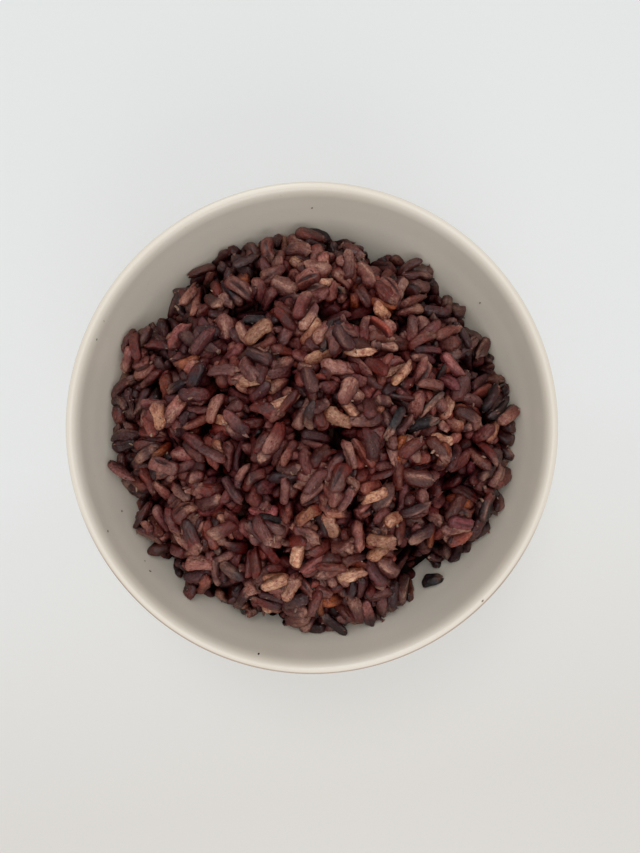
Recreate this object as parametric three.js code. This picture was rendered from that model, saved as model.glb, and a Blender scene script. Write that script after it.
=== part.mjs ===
// A bowl of cooked rice blend: a round glazed bowl on a foot ring, and the low
// mound of loose dark grains that fills it to a little above the rim.
//
// Millimetres, +Z up. The origin is the middle of the foot ring, on the table.

import * as THREE from 'three';

// ---- Driving dimensions: the bowl ----------------------------------------

const BOWL_HEIGHT = 59;          // table to the top of the lip
const RIM_RADIUS = 65;           // outer edge of the lip
const LIP_OUTER_ROUND = 0.8;     // small round on the outer edge of the lip
const LIP_INNER_ROUND = { across: 2.4, down: 5.5 };   // longer, elliptical round inside
const CAVITY_RADIUS = 62.2;      // inner wall, carried up to the lip
const CAVITY_DEPTH = 49.5;       // lip to the lowest point inside
const BELLY_DEPTH = 55.5;        // lip to where the outer wall would meet the axis
const BELLY_EXPONENT = 2.2;      // 2 is an ellipse, and more has steeper walls
const WIDEST_ABOVE_LIP = 14;     // the walls' curves would be widest here, so they flare at the lip
const FOOT_OUTER_RADIUS = 29.5;
const FOOT_INNER_RADIUS = 25.5;
const FOOT_EDGE_ROUND = 0.7;
const FOOT_RECESS_HEIGHT = 4.5;  // table to the underside of the floor
const FOOT_RECESS_ROUND = 1.8;

// ---- Driving dimensions: the mound of rice --------------------------------

const GAP = 0.3;                 // clear space between the grains and the wall
const MOUND_TOP = 62.5;          // table to the top of the mound
const EDGE_DEPTH = 15.5;         // lip to the mound's edge, where it meets the wall
const EDGE_RADIUS = 57.6;        // mean radius of the mound's edge
const SHOULDER_DEPTH = 20.5;     // lip to where the side of the mound leaves the wall
const EDGE_CLIMB = 2;            // a lobe rises this much for each mm that it reaches out
const EDGE_DROP = 2;             // the edge stays this much above where the side leaves the wall
const EDGE_SPREAD = 7;           // the higher, the closer to the edge a lobe stays
const RAISED_SIDE = {            // on one side the edge stands higher and steeper, clear of the wall
  direction: 285,                // the middle of that side, in degrees from +X towards +Y
  rise: 4,
  stepIn: 0.3,                   // the edge steps in by this for each mm that it rises
  spread: 3,                     // the higher, the closer to the edge the rise stays
};
const MOUND_ROUNDNESS = 2;       // 2 is a parabola, and more has a flatter top

// Where the mound's edge swells out or falls back: direction in degrees from
// +X towards +Y, reach in mm, and half the width of the lobe in degrees.
const EDGE_LOBES = [
  { direction: 0, reach: 0.9, halfWidth: 7 },
  { direction: 22, reach: -1.3, halfWidth: 18 },
  { direction: 48, reach: -1.7, halfWidth: 8 },
  { direction: 70, reach: -2.7, halfWidth: 7 },
  { direction: 90, reach: -0.8, halfWidth: 12 },
  { direction: 140, reach: -2.2, halfWidth: 8 },
  { direction: 168, reach: 0.5, halfWidth: 17 },
  { direction: 204, reach: -1.7, halfWidth: 6 },
  { direction: 217, reach: 0.3, halfWidth: 6 },
  { direction: 233, reach: 1.1, halfWidth: 6 },
  { direction: 246, reach: -1.6, halfWidth: 6 },
  { direction: 260, reach: 0.4, halfWidth: 6 },
  { direction: 277, reach: 0.4, halfWidth: 8 },
  { direction: 298, reach: -1, halfWidth: 9 },
  { direction: 334, reach: -0.2, halfWidth: 7 },
  { direction: 348, reach: -0.9, halfWidth: 6 },
];

// Clumps of grains on top of the mound: two crossed waves for each size of clump.
const CLUMPS = [
  { height: 0.8, length: 30, turn: 0.5 },
  { height: 0.5, length: 17, turn: 1.4 },
];

// ---- How finely the round shapes are faceted ------------------------------

const SEGMENTS = 76;
const WALL_STEPS = 12;
const BELLY_STEPS = 10;
const ROUND_STEPS = 3;
const SHOULDER_STEPS = 5;
const MOUND_RINGS = 13;

// ---- Colours --------------------------------------------------------------

const GLAZE_COLOUR = 0xd9d2c6;
const RICE_COLOUR = 0x4a2c28;

// ---- Curves ---------------------------------------------------------------

/** A point's share of the way down a wall's curve, from where it is widest to the axis. */
function shareDown(depth, fullDepth) {
  return Math.min((depth + WIDEST_ABOVE_LIP) / (fullDepth + WIDEST_ABOVE_LIP), 1);
}

/** How wide the curve is for that share: 1 where it is widest and 0 on the axis. The other way round too. */
function curveWidth(share) {
  return (1 - share ** BELLY_EXPONENT) ** (1 / BELLY_EXPONENT);
}

/** Radius of a rounded wall at a depth below the lip, from its radius at the lip. */
function wallRadius(depth, radius, fullDepth) {
  return (radius * curveWidth(shareDown(depth, fullDepth))) / curveWidth(shareDown(0, fullDepth));
}

/** Depth below the lip at which a rounded wall has come in to a smaller radius. */
function wallDepth(smallRadius, radius, fullDepth) {
  const width = (smallRadius / radius) * curveWidth(shareDown(0, fullDepth));
  return (fullDepth + WIDEST_ABOVE_LIP) * curveWidth(width) - WIDEST_ABOVE_LIP;
}

/** Angle along a rounded wall, 0 where it is widest and a quarter turn on the axis. */
function wallAngle(depth, fullDepth) {
  return Math.asin(shareDown(depth, fullDepth) ** (BELLY_EXPONENT / 2));
}

/** Points down a rounded wall, from one depth to another, as (radius, height). */
function wallCurve(fromDepth, toDepth, radius, fullDepth, steps) {
  const start = wallAngle(fromDepth, fullDepth);
  const end = wallAngle(toDepth, fullDepth);
  const points = [];
  for (let i = 0; i <= steps; i++) {
    const angle = start + ((end - start) * i) / steps;
    const share = Math.sin(angle) ** (2 / BELLY_EXPONENT);
    const depth = (fullDepth + WIDEST_ABOVE_LIP) * share - WIDEST_ABOVE_LIP;
    points.push(new THREE.Vector2(wallRadius(depth, radius, fullDepth), BOWL_HEIGHT - depth));
  }
  return points;
}

/** Points on a quarter ellipse about a centre, from one angle to another. */
function quarterRound(centre, across, up, fromAngle, toAngle) {
  const points = [];
  for (let i = 0; i <= ROUND_STEPS; i++) {
    const angle = fromAngle + ((toAngle - fromAngle) * i) / ROUND_STEPS;
    points.push(new THREE.Vector2(
      centre.x + across * Math.cos(angle),
      centre.y + up * Math.sin(angle),
    ));
  }
  return points;
}

/** Drops points that lie on the one before, and sets the ends exactly on the axis. */
function cleanProfile(points) {
  const kept = points.filter((point, i) => i === 0 || point.distanceTo(points[i - 1]) > 0.01);
  kept[0].x = 0;
  kept[kept.length - 1].x = 0;
  return kept;
}

/** A solid of revolution about +Z from a profile of (radius, height). */
function revolve(profile) {
  return new THREE.LatheGeometry(profile, SEGMENTS).rotateX(Math.PI / 2);
}

// ---- The bowl -------------------------------------------------------------

/** The foot ring and the recess inside it, from the axis out to the ring's edge. */
function footProfile(footTop) {
  const recessCentre = new THREE.Vector2(
    FOOT_INNER_RADIUS - FOOT_RECESS_ROUND,
    FOOT_RECESS_HEIGHT - FOOT_RECESS_ROUND,
  );
  const innerEdge = new THREE.Vector2(FOOT_INNER_RADIUS + FOOT_EDGE_ROUND, FOOT_EDGE_ROUND);
  const outerEdge = new THREE.Vector2(FOOT_OUTER_RADIUS - FOOT_EDGE_ROUND, FOOT_EDGE_ROUND);
  return [
    new THREE.Vector2(0, FOOT_RECESS_HEIGHT),
    ...quarterRound(recessCentre, FOOT_RECESS_ROUND, FOOT_RECESS_ROUND, Math.PI / 2, 0),
    ...quarterRound(innerEdge, FOOT_EDGE_ROUND, FOOT_EDGE_ROUND, Math.PI, Math.PI * 1.5),
    ...quarterRound(outerEdge, FOOT_EDGE_ROUND, FOOT_EDGE_ROUND, -Math.PI / 2, 0),
    new THREE.Vector2(FOOT_OUTER_RADIUS, footTop),
  ];
}

/** How the lip's inner round turns into the wall: how far short of upright it ends, and the depth there. */
function lipEnd() {
  const { across, down } = LIP_INNER_ROUND;
  const cameIn = CAVITY_RADIUS - wallRadius(down, CAVITY_RADIUS, CAVITY_DEPTH);
  const lean = Math.atan(cameIn / across);
  return { lean, depth: down * (1 - Math.sin(lean)) };
}

/** The rolled lip, from its outer edge over the top and down inside. */
function lipProfile() {
  const { across, down } = LIP_INNER_ROUND;
  const { lean, depth } = lipEnd();
  const outerCentre = new THREE.Vector2(RIM_RADIUS - LIP_OUTER_ROUND, BOWL_HEIGHT - LIP_OUTER_ROUND);
  const innerCentre = new THREE.Vector2(
    wallRadius(depth, CAVITY_RADIUS, CAVITY_DEPTH) + across * Math.cos(lean),
    BOWL_HEIGHT - down,
  );
  return [
    ...quarterRound(outerCentre, LIP_OUTER_ROUND, LIP_OUTER_ROUND, 0, Math.PI / 2),
    ...quarterRound(innerCentre, across, down, Math.PI / 2, Math.PI - lean),
  ];
}

function bowlGeometry() {
  const footDepth = wallDepth(FOOT_OUTER_RADIUS, RIM_RADIUS, BELLY_DEPTH);
  const outside = wallCurve(LIP_OUTER_ROUND, footDepth, RIM_RADIUS, BELLY_DEPTH, BELLY_STEPS);
  const inside = wallCurve(lipEnd().depth, CAVITY_DEPTH, CAVITY_RADIUS, CAVITY_DEPTH, WALL_STEPS);
  const profile = [
    ...footProfile(BOWL_HEIGHT - footDepth),
    ...outside.reverse(),
    ...lipProfile(),
    ...inside,
  ];
  return revolve(cleanProfile(profile));
}

// ---- The mound of rice ----------------------------------------------------

/** How far the mound's edge lies outside or inside its mean radius, at a direction. */
function edgeReach(direction) {
  let reach = 0;
  for (const lobe of EDGE_LOBES) {
    const away = THREE.MathUtils.euclideanModulo(direction - lobe.direction + 180, 360) - 180;
    reach += lobe.reach * Math.exp(-((away / lobe.halfWidth) ** 2));
  }
  return reach;
}

/** How much of the raised side's rise there is at a direction: 1 in its middle and 0 on the other side. */
function raisedShare(direction) {
  const facing = Math.cos(THREE.MathUtils.degToRad(direction - RAISED_SIDE.direction));
  return THREE.MathUtils.smoothstep(facing, -0.3, 0.6);
}

/** The mound's edge at a direction: its radius, its height and how much of that is the raised side's. */
function edgeAt(direction) {
  const reach = edgeReach(direction);
  const raisedBy = RAISED_SIDE.rise * raisedShare(direction);
  const climb = EDGE_CLIMB * reach * (1 - raisedShare(direction));
  const depth = Math.min(EDGE_DEPTH - climb, SHOULDER_DEPTH - EDGE_DROP) - raisedBy;
  const wall = wallRadius(depth, CAVITY_RADIUS, CAVITY_DEPTH) - GAP;
  const radius = EDGE_RADIUS + reach - RAISED_SIDE.stepIn * raisedBy;
  return { radius: Math.min(radius, wall), height: BOWL_HEIGHT - depth, raisedBy };
}

/** Height of the clumps at a place on the mound. */
function clumpHeight(x, y) {
  let height = 0;
  for (const clump of CLUMPS) {
    const turns = (Math.PI * 2) / clump.length;
    const along = x * Math.cos(clump.turn) + y * Math.sin(clump.turn);
    const across = y * Math.cos(clump.turn) - x * Math.sin(clump.turn);
    height += clump.height * Math.sin(along * turns) * Math.cos(across * turns);
  }
  return height;
}

/** Height of the smooth dome at a radius. */
function domeHeight(radius) {
  const rise = MOUND_TOP - (BOWL_HEIGHT - EDGE_DEPTH);
  return MOUND_TOP - rise * (radius / EDGE_RADIUS) ** MOUND_ROUNDNESS;
}

/** A place on the mound's top surface, by its share of the way out to the edge. */
function moundTop(share, angle) {
  const edge = edgeAt(THREE.MathUtils.radToDeg(angle));
  const radius = edge.radius * share;
  const x = radius * Math.cos(angle);
  const y = radius * Math.sin(angle);
  const raised = edge.raisedBy * share ** RAISED_SIDE.spread;
  const lobe = (edge.height - edge.raisedBy - domeHeight(edge.radius)) * share ** EDGE_SPREAD;
  const clumps = clumpHeight(x, y) * (1 - share ** EDGE_SPREAD);
  return new THREE.Vector3(x, y, domeHeight(radius) + raised + lobe + clumps);
}

/** The mound as a round solid, whose top rings are then moved to the uneven surface. */
function moundGeometry() {
  const under = wallCurve(
    SHOULDER_DEPTH, CAVITY_DEPTH - GAP, CAVITY_RADIUS - GAP, CAVITY_DEPTH - GAP, SHOULDER_STEPS,
  ).reverse();
  const profile = [...under];
  for (let ring = 0; ring <= MOUND_RINGS; ring++) {
    profile.push(new THREE.Vector2(EDGE_RADIUS * (1 - ring / MOUND_RINGS), MOUND_TOP));
  }
  const geometry = revolve(cleanProfile(profile));

  const position = geometry.attributes.position;
  for (let i = 0; i < position.count; i++) {
    const ring = (i % profile.length) - under.length;
    if (ring < 0) continue;
    const angle = Math.atan2(position.getY(i), position.getX(i));
    const place = moundTop(1 - ring / MOUND_RINGS, angle);
    position.setXYZ(i, place.x, place.y, place.z);
  }
  return geometry;
}

// ---- The whole ------------------------------------------------------------

function namedMesh(name, geometry, material) {
  const mesh = new THREE.Mesh(geometry, material);
  mesh.name = name;
  return mesh;
}

const glaze = new THREE.MeshStandardMaterial({ color: GLAZE_COLOUR, roughness: 0.25, metalness: 0 });
const rice = new THREE.MeshStandardMaterial({ color: RICE_COLOUR, roughness: 0.6, metalness: 0 });

const bowlOfRice = new THREE.Group();
bowlOfRice.add(namedMesh('bowl', bowlGeometry(), glaze));
bowlOfRice.add(namedMesh('rice', moundGeometry(), rice));

export default bowlOfRice;
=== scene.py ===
"""A bowl of cooked rice blend, seen from straight above: a glazed bowl, a heap of about two thousand
separate grains that settle against each other over a dark core, one stray grain and a few bran specks."""

import itertools
import math

import bpy
import numpy as np
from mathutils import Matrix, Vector
from mathutils.bvhtree import BVHTree


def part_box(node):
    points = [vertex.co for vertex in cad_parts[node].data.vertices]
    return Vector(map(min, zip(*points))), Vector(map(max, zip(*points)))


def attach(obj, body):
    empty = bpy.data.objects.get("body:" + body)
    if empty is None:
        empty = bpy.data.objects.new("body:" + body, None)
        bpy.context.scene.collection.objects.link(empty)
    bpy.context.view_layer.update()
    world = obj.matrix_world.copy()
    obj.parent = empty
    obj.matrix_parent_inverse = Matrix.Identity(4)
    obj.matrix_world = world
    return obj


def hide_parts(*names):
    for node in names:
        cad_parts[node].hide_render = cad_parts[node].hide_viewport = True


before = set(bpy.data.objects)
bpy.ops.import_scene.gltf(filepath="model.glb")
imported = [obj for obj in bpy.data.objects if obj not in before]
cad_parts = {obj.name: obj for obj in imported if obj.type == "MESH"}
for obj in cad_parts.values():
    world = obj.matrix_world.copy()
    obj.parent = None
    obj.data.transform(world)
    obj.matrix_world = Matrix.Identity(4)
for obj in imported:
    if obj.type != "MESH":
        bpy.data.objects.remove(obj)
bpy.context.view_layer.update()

MM = 0.001

# ---- The photograph's view, in its own pixels ----

IMAGE_CENTRE = (320.0, 426.5)
IMAGE_LONG_SIDE = 853
FOCAL_PIXELS = 648.0
SENSOR_MM = 36.0
CAMERA = (2.13, 0.35, 229.4)  # mm, over the bowl

# ---- The bowl, in mm ----

LIP_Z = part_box("bowl")[1][2] / MM
RIM_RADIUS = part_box("bowl")[1][0] / MM
CAVITY_RADIUS = 62.2
CAVITY_DEPTH = 49.5
BELLY_DEPTH = 55.5
BELLY_EXPONENT = 2.2
WIDEST_ABOVE_LIP = 14.0       # the walls' curves would be widest here, so they flare at the lip
LIP_OUTER_ROUND = 0.8
LIP_INNER_ACROSS = 2.4
LIP_INNER_DOWN = 5.5
FOOT_OUTER_RADIUS = 29.5
FOOT_INNER_RADIUS = 25.5
FOOT_SIDE_HEIGHTS = (3.0, 6.0)
FOOT_EDGE_ROUND = 0.7
FOOT_RECESS_Z = 4.5
FOOT_RECESS_ROUND = 1.8
BARE_CLAY_BELOW = 0.35        # the foot ring's resting face has no glaze
BOWL_SEGMENTS = 224
RIPPLE_MM = 0.02

# Where the thin brownish line of painted shade along the lip's outer edge starts and where it is full:
# radius, height and place along Y.
THIN_LINE_RADII = (RIM_RADIUS - 0.75, RIM_RADIUS - 0.4)
THIN_LINE_HEIGHTS = (LIP_Z - 1.8, LIP_Z - 1.0)
THIN_LINE_Y = (-20, -40)

# ---- The heap, in mm ----

CORE_DEPTH = 8.0              # from the heap's outer surface in to the core
CORE_WALL_GAP = 3.4
CORE_WIDTH_DEPTH = 29.0       # the core spreads as wide as the wall is this far below the lip
CORE_EDGE_DEPTH = 34.0        # from the lip down to the core's edge
CORE_SPOKES = 72
CORE_RINGS = 22
GRAIN_COUNT = 2060
MISSING_SHARE = 0.12          # share of the top grains that are taken out again, which leaves gaps
TOP_LAYER_MM = 3.6            # grains whose middle is nearer the surface than this are made finely
MID_LAYER_MM = 6.4
OUTER_SLACK_MM = 2.0          # how far a grain may stand out of the heap's surface
DEEP_MM = 4.7                 # grains this far under the surface lie in the heap's moist inside and get a dark painted shade
DEEP_FALL = (0.8, 1.45, 1.15)  # how fast red, green and blue fall off with depth
DEEP_LIGHT = 0.08             # what is left of a colour where no light gets in
RIM_SHADE_DEPTH = 17.0        # the heap's moist edge gets a painted shade, from half this far below the lip to here
RIM_SHADE = 0.5
FLAKE_COUNT = 2600
FLAKE_OPENNESS = 0.6          # flakes stick to grains at places that are more open than this

# Humps and hollows of the heap, about three, two and one grain lengths across: wave length and height.
RELIEF_WAVES = ((24.0, 1.3), (15.0, 1.4), (9.5, 1.2))
WAVES_EACH = 3
WAVE_GAIN = 1.4

# Deep gaps in the heap that look black in the photograph: pixel, radius and depth in mm.
PITS = (
    (350, 434, 3.8, 4.5), (242, 517, 4.0, 5.0), (215, 470, 3.2, 4.0), (265, 300, 3.0, 4.0),
    (205, 286, 3.0, 3.5), (150, 505, 3.6, 4.5), (176, 372, 2.6, 3.5), (300, 330, 2.4, 3.0),
    (405, 300, 2.6, 3.5), (455, 500, 3.2, 4.0), (330, 545, 2.4, 3.0), (225, 405, 2.6, 3.5),
    (385, 480, 2.4, 3.0), (180, 450, 2.8, 3.5), (380, 412, 2.2, 3.5),
)
EDGE_DIP = (430, 577, 7.2, 13.8)  # a dip in the heap's edge, where the wall is bare around the stray grain
EDGE_DIP_OPEN = 0.75              # share of the dip's depth that light gets into

rng = np.random.default_rng(11)


# ---- Small helpers ----

def linear(red, green, blue):
    """A colour given in 0 to 255 steps, as linear light."""
    return tuple(((step / 255 + 0.055) / 1.055) ** 2.4 if step > 10 else step / 255 / 12.92
                 for step in (red, green, blue))


def unit(vectors):
    """Vectors of length 1."""
    return vectors / np.maximum(np.linalg.norm(vectors, axis=-1, keepdims=True), 1e-9)


def wrapped(angles):
    """Angles from minus half a turn to half a turn."""
    return (angles + np.pi) % (2 * np.pi) - np.pi


def falloff(away, width):
    """1 in the middle, falling smoothly to 0 with the distance away."""
    return np.exp(-(away / width) ** 2)


def mixed(first, second, share):
    """Colours that are mixed by a share for each point."""
    return first * (1 - share[..., None]) + second * share[..., None]


def ring_faces(rings, count):
    """Faces over closed rings of points that lie between a first point and a last one: the quads between
    the rings, and the fans at the two ends."""
    around = np.arange(1, count + 1)
    following = np.roll(around, -1)
    starts = np.arange(rings - 1)[:, None] * count
    here, beside = around + starts, following + starts
    quads = np.stack([here, here + count, beside + count, beside], axis=2).reshape(-1, 4)
    last = (rings - 1) * count
    first_fan = np.stack([np.zeros_like(around), around, following], axis=1)
    last_fan = np.stack([np.full_like(around, last + count + 1), following + last, around + last], axis=1)
    return quads, first_fan, last_fan


def turned_over(faces):
    """The same faces, looking the other way."""
    return np.concatenate([faces[:, :1], faces[:, :0:-1]], axis=1)


def repeated(faces, points_each, times):
    """The faces of one shape, for a number of copies of it."""
    starts = (np.arange(times) * points_each)[:, None, None]
    return (faces[None] + starts).reshape(-1, faces.shape[1])


def new_object(name, data):
    """Puts a mesh, a light or a camera in the scene."""
    made = bpy.data.objects.new(name, data)
    bpy.context.scene.collection.objects.link(made)
    return made


def build_mesh(name, points_mm, faces):
    """A smooth mesh from points in mm and groups of faces, each an array with 3 or 4 corners a row."""
    mesh = bpy.data.meshes.new(name)
    corners = np.concatenate([group.ravel() for group in faces])
    sizes = np.concatenate([np.full(len(group), group.shape[1]) for group in faces])
    starts = np.concatenate([[0], np.cumsum(sizes)[:-1]])
    mesh.vertices.add(len(points_mm))
    mesh.vertices.foreach_set("co", np.asarray(points_mm, dtype=np.float32).ravel() * MM)
    mesh.loops.add(len(corners))
    mesh.loops.foreach_set("vertex_index", corners.astype(np.int32))
    mesh.polygons.add(len(sizes))
    mesh.polygons.foreach_set("loop_start", starts.astype(np.int32))
    mesh.update(calc_edges=True)
    mesh.validate()
    mesh.shade_smooth()
    return mesh


def painted_piece(name, points_mm, colours, places, faces, material):
    """A piece with the colours, with alpha, and the local places that the grain material reads."""
    mesh = build_mesh(name, points_mm, faces)
    mesh.attributes.new("grain_colour", "FLOAT_COLOR", "POINT").data.foreach_set("color", colours.ravel())
    mesh.attributes.new("grain_place", "FLOAT_VECTOR", "POINT").data.foreach_set("vector", places.ravel())
    mesh.materials.append(material)
    return new_object(name, mesh)


def tree_of(node):
    """The surface of one of the frame's nodes, for rays, with its points in mm."""
    mesh = bpy.data.objects[node].data
    points = [vertex.co / MM for vertex in mesh.vertices]
    return BVHTree.FromPolygons(points, [tuple(face.vertices) for face in mesh.polygons])


def pixel_ray(pixel):
    """The direction in which the camera sees a pixel."""
    across = (pixel[0] - IMAGE_CENTRE[0]) / FOCAL_PIXELS
    up = (IMAGE_CENTRE[1] - pixel[1]) / FOCAL_PIXELS
    return Vector((across, up, -1)).normalized()


# ---- Materials ----

class Look:
    """A material that is made of nodes. A value is a node's output, or else a plain number or vector."""

    def __init__(self, name, **settings):
        self.material = bpy.data.materials.new(name)
        self.material.use_nodes = True
        self.tree = self.material.node_tree
        self.shader = self.tree.nodes["Principled BSDF"]
        self.shade({key.replace("_", " ").title(): value for key, value in settings.items()})

    def add(self, kind, **settings):
        """A new node."""
        node = self.tree.nodes.new(kind)
        for key, value in settings.items():
            setattr(node, key, value)
        return node

    def feed(self, socket, value):
        """Gives a socket its value."""
        if isinstance(value, bpy.types.NodeSocket):
            self.tree.links.new(value, socket)
        else:
            socket.default_value = value

    def shade(self, values):
        """Gives the shader's own sockets their values."""
        for name, value in values.items():
            self.feed(self.shader.inputs[name], value)

    def object_place(self):
        """Each point's place in the piece's own axes, in metres."""
        return self.add("ShaderNodeTexCoord").outputs["Object"]

    def number(self, operation, first, second):
        """Two numbers, added or multiplied."""
        node = self.add("ShaderNodeMath", operation=operation)
        self.feed(node.inputs[0], first)
        self.feed(node.inputs[1], second)
        return node.outputs[0]

    def vector(self, operation, first, second=(0, 0, 0), output="Vector"):
        """Two vectors, multiplied on each axis or otherwise brought together."""
        node = self.add("ShaderNodeVectorMath", operation=operation)
        self.feed(node.inputs[0], first)
        self.feed(node.inputs[1], second)
        return node.outputs[output]

    def noise(self, place, scale, detail, distortion=0.0):
        """Noise at a place, as a number."""
        node = self.add("ShaderNodeTexNoise")
        values = {"Vector": place, "Scale": scale, "Detail": detail, "Distortion": distortion}
        for name, value in values.items():
            self.feed(node.inputs[name], value)
        return node.outputs["Fac"]

    def remap(self, value, old_range, new_range=(0, 1)):
        """A number moved from one range to another, and kept inside it."""
        node = self.add("ShaderNodeMapRange")
        self.feed(node.inputs["Value"], value)
        for name, limit in zip(("From Min", "From Max", "To Min", "To Max"), (*old_range, *new_range)):
            self.feed(node.inputs[name], limit)
        return node.outputs["Result"]

    def blend(self, share, first, second, mode="MIX"):
        """A mix of two colours, each a node's output or a plain colour."""
        node = self.add("ShaderNodeMix", data_type="RGBA", blend_type=mode)
        self.feed(node.inputs["Factor"], share)
        for socket, colour in ((node.inputs[6], first), (node.inputs[7], second)):
            self.feed(socket, (*colour, 1) if isinstance(colour, tuple) else colour)
        return node.outputs[2]

    def bump(self, height, distance, strength=1.0):
        """Small relief, as deep as the distance in metres."""
        node = self.add("ShaderNodeBump")
        for name, value in {"Distance": distance, "Strength": strength, "Height": height}.items():
            self.feed(node.inputs[name], value)
        self.shade({"Normal": node.outputs["Normal"]})


def painted_lip_shade(look, place):
    """1 along the lip's outer edge on the bowl's -Y side, which faces away from the light, and 0 elsewhere:
    a painted shade.
    """
    split = look.add("ShaderNodeSeparateXYZ")
    look.feed(split.inputs[0], place)
    radius = look.vector("LENGTH", look.vector("MULTIPLY", place, (1, 1, 0)), output="Value")
    thin = 1.0
    for value, limits in ((radius, THIN_LINE_RADII), (split.outputs["Z"], THIN_LINE_HEIGHTS),
                          (split.outputs["Y"], THIN_LINE_Y)):
        thin = look.number("MULTIPLY", thin, look.remap(value, [limit * MM for limit in limits]))
    return thin


def glaze_material():
    """Off-white glaze, slightly uneven in tone, with a soft sheen and a thin brown line of painted shade at
    the lip.
    """
    look = Look("off_white_glaze", roughness=0.24, coat_weight=0.3, coat_roughness=0.12)
    place = look.object_place()
    clouds = look.remap(look.noise(place, 22, 4), (0.35, 0.65))
    spots = look.remap(look.noise(place, 900, 2), (0.72, 0.78), (0, 0.35))
    tone = look.blend(clouds, linear(227, 218, 203), linear(231, 223, 209))
    tone = look.blend(spots, tone, linear(198, 186, 168))
    # A brownish painted shade along the lip's outer edge on the bowl's -Y side.
    look.shade({"Base Color": look.blend(painted_lip_shade(look, place), tone, linear(176, 154, 136))})
    look.bump(look.noise(place, 160, 3), 0.00006, 0.6)
    return look.material


def bare_clay_material():
    """The unglazed clay of the foot ring's resting face."""
    look = Look("bare_clay", roughness=0.85)
    grit = look.noise(look.object_place(), 1500, 3)
    look.shade({"Base Color": look.blend(grit, linear(196, 180, 156), linear(214, 201, 180))})
    look.bump(grit, 0.0001)
    return look.material


def grain_material():
    """Moist cooked bran: each grain's colours, which carry its painted sheen and shade, with cloudy skin,
    pale mottles, faint lines and stipple. The colour's alpha is 1 at the heap's surface and 0 deep in it,
    where there is no sheen."""
    look = Look("cooked_rice", coat_roughness=0.16, subsurface_weight=0.25, subsurface_scale=0.0012,
                subsurface_radius=(1.0, 0.45, 0.3))
    painted = look.add("ShaderNodeAttribute", attribute_name="grain_colour")
    colour, open_air = painted.outputs["Color"], painted.outputs["Alpha"]
    place = look.add("ShaderNodeAttribute", attribute_name="grain_place").outputs["Vector"]
    clouds = look.noise(place, 0.9, 4, 0.4)
    mottles = look.noise(place, 1.3, 3, 0.8)
    lines = look.noise(look.vector("MULTIPLY", place, (0.55, 2.0, 2.0)), 1.0, 3, 0.5)
    stipple = look.noise(place, 3.4, 2)

    dark_skin = look.blend(1.0, colour, linear(172, 106, 96), "MULTIPLY")
    pale_skin = look.vector("MULTIPLY", colour, (1.38, 1.62, 1.72))
    tone = look.blend(look.remap(clouds, (0.36, 0.54), (0.15, 0.9)), dark_skin, colour)
    tone = look.blend(look.remap(mottles, (0.46, 0.62), (0, 0.55)), tone, pale_skin)
    tone = look.blend(look.remap(lines, (0.48, 0.6), (0, 0.32)), tone, dark_skin)
    tone = look.blend(look.remap(stipple, (0.6, 0.68), (0, 0.6)), tone, dark_skin)
    look.shade({
        "Base Color": tone,
        "Roughness": look.remap(stipple, (0.3, 0.7), (0.3, 0.5)),
        "Specular IOR Level": look.remap(open_air, (0.3, 1), (0.02, 0.32)),
        "Coat Weight": look.number("MULTIPLY", look.remap(clouds, (0.45, 0.6), (0.38, 0)), open_air),
    })
    look.bump(look.number("ADD", lines, mottles), 0.0006, 0.8)
    return look.material


def core_material():
    """The moist mass between the grains, near black as a painted shade of the heap's inside."""
    look = Look("heap_core", roughness=0.8)
    lumps = look.noise(look.object_place(), 320, 3)
    tone = look.blend(lumps, linear(8, 3, 3), linear(26, 9, 7))
    look.shade({"Specular IOR Level": 0.05, "Base Color": tone})
    look.bump(lumps, 0.001)
    return look.material


def floor_material():
    """A plain pale surface, with a painted shade that makes it a little duller and warmer towards -Y."""
    look = Look("plain_floor", roughness=0.6)
    nearer = look.vector("DOT_PRODUCT", look.object_place(), (0.15, -1, 0), output="Value")
    tone = look.blend(look.remap(nearer, (0.0, 0.13)), linear(237, 239, 239), linear(226, 223, 218))
    look.shade({"Base Color": tone})
    return look.material


# ---- The bowl ----

def share_down(depth, full_depth):
    """A depth's share of the way down a wall's curve, from where it is widest to the axis."""
    return np.clip((depth + WIDEST_ABOVE_LIP) / (full_depth + WIDEST_ABOVE_LIP), 0, 1)


def curve_width(share):
    """How wide the curve is for that share, from 1 down to 0. It works the other way round too."""
    return (1 - share ** BELLY_EXPONENT) ** (1 / BELLY_EXPONENT)


def wall_radius(depth, radius, full_depth):
    """Radius of the rounded wall at a depth below the lip, from its radius at the lip."""
    return radius * curve_width(share_down(depth, full_depth)) / curve_width(share_down(0, full_depth))


def wall_curve(from_depth, to_depth, radius, full_depth, steps):
    """Points down the rounded wall, as rows of radius and height."""
    start, end = (share_down(depth, full_depth) ** (BELLY_EXPONENT / 2) for depth in (from_depth, to_depth))
    share = np.sin(np.linspace(math.asin(start), math.asin(end), steps + 1)) ** (2 / BELLY_EXPONENT)
    depth = (full_depth + WIDEST_ABOVE_LIP) * share - WIDEST_ABOVE_LIP
    return np.stack([wall_radius(depth, radius, full_depth), LIP_Z - depth], axis=1)


def quarter_round(centre, across, up, from_degrees, to_degrees, steps=8):
    """Points on a quarter ellipse, as rows of radius and height."""
    angles = np.radians(np.linspace(from_degrees, to_degrees, steps + 1))
    return np.stack([centre[0] + across * np.cos(angles), centre[1] + up * np.sin(angles)], axis=1)


def level_line(from_radius, to_radius, height, count):
    """Points on a level line, as rows of radius and height."""
    return np.stack([np.linspace(from_radius, to_radius, count), np.full(count, height)], axis=1)


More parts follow.
